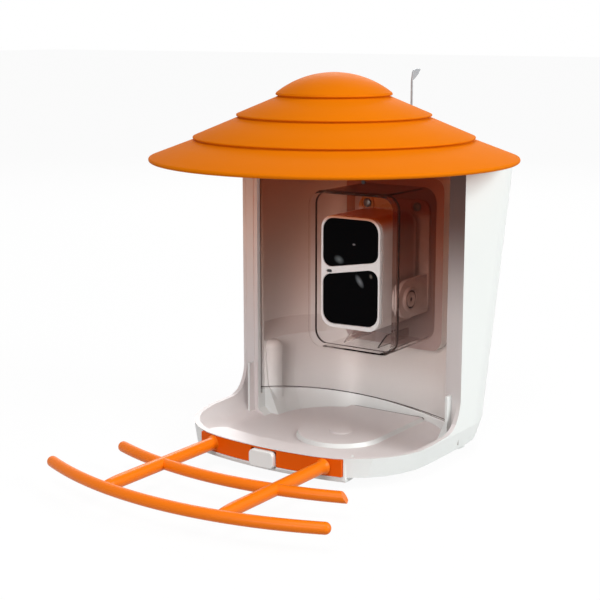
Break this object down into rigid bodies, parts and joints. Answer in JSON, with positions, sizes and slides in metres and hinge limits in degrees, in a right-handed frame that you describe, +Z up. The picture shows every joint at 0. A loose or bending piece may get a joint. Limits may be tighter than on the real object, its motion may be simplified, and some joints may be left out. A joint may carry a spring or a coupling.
{
  "type": "smart bird feeder",
  "caption": "Bird feeder with stepped round lid, clear-fronted seed hopper, open tray, pull-out curved perch and a camera on a tilting arm in a clear pocket.",
  "frame": {"origin": "middle of the part's footprint, perch included, on the surface that the feet stand on", "axes": "+Z up, -Y towards the perch and the tray's open front, +X to the side of the camera's tilt knob"},
  "size_m": [0.27, 0.3462, 0.2824],
  "materials": {
    "white_plastic": "fine satin moulded white plastic",
    "orange_plastic": "satin moulded orange plastic",
    "deep_orange_plastic": "satin moulded deep orange plastic",
    "clear_plastic": "clear polished plastic",
    "camera_plastic": "smooth half-gloss white plastic",
    "window_black": "glossy black window",
    "black_plastic": "matte black plastic",
    "grey_plastic": "light grey plastic",
    "rubber": "black rubber",
    "steel": "plain steel",
    "brass": "turned brass",
    "circuit_board": "green circuit board",
    "cell_wrap": "grey battery wrap"
  },
  "bodies": {
    "base": {"housing": "white_plastic", "base_cover": "white_plastic", "foot_1": "rubber", "foot_2": "rubber", "foot_3": "rubber", "foot_4": "rubber", "mount_insert": "brass", "clear_panel": "clear_plastic", "panel_plug": "black_plastic", "camera_bay": "white_plastic", "tilt_bracket": "camera_plastic", "bracket_screw_1": "camera_plastic", "bracket_screw_2": "camera_plastic", "bracket_screw_3": "camera_plastic", "bracket_screw_4": "camera_plastic", "hinge_pin_left": "steel", "hinge_pin_right": "steel"},
    "lid": {"roof": "orange_plastic", "rear_hook": "grey_plastic"},
    "perch_unit": {"perch_band": "deep_orange_plastic", "perch": "orange_plastic"},
    "latch": {"release_button": "white_plastic"},
    "camera": {"camera_body": "camera_plastic", "camera_bezel": "camera_plastic", "upper_window": "window_black", "lower_window": "window_black", "camera_gasket": "rubber", "lens_barrel": "black_plastic", "image_board": "circuit_board", "infrared_board": "circuit_board", "main_board": "circuit_board", "motion_sensor": "grey_plastic", "battery_cell": "cell_wrap", "speaker": "black_plastic", "camera_rear_cover": "camera_plastic"},
    "clamp": {"pivot_knob": "camera_plastic", "pivot_screw": "steel"},
    "power": {"power_button": "grey_plastic"},
    "port_flap": {"usb_flap": "rubber"}
  },
  "joints": [
    {"name": "roof_hinge", "type": "hinge", "parent": "base", "child": "lid", "pos_m": [0, 0.1676, 0.2145], "axis": [-1, 0, 0], "range_deg": [0, 95]},
    {"name": "perch_slide", "type": "slide", "parent": "base", "child": "perch_unit", "axis": [0, -1, 0], "range_m": [0, 0.025]},
    {"name": "latch_press", "type": "slide", "parent": "perch_unit", "child": "latch", "axis": [0, 1, 0], "range_m": [0, 0.002], "stiffness_N_per_m": 400},
    {"name": "camera_tilt", "type": "hinge", "parent": "base", "child": "camera", "pos_m": [0, 0.0941, 0.1096], "axis": [1, 0, 0], "range_deg": [-4, 15]},
    {"name": "clamp_turn", "type": "hinge", "parent": "base", "child": "clamp", "pos_m": [0.0329, 0.0941, 0.1096], "axis": [1, 0, 0], "range_deg": [-90, 90]},
    {"name": "power_press", "type": "slide", "parent": "camera", "child": "power", "axis": [0, -1, 0], "range_m": [0, 0.0008], "stiffness_N_per_m": 300},
    {"name": "flap_open", "type": "hinge", "parent": "camera", "child": "port_flap", "pos_m": [0, 0.1145, 0.1006], "axis": [-1, 0, 0], "range_deg": [0, 60]}
  ]
}
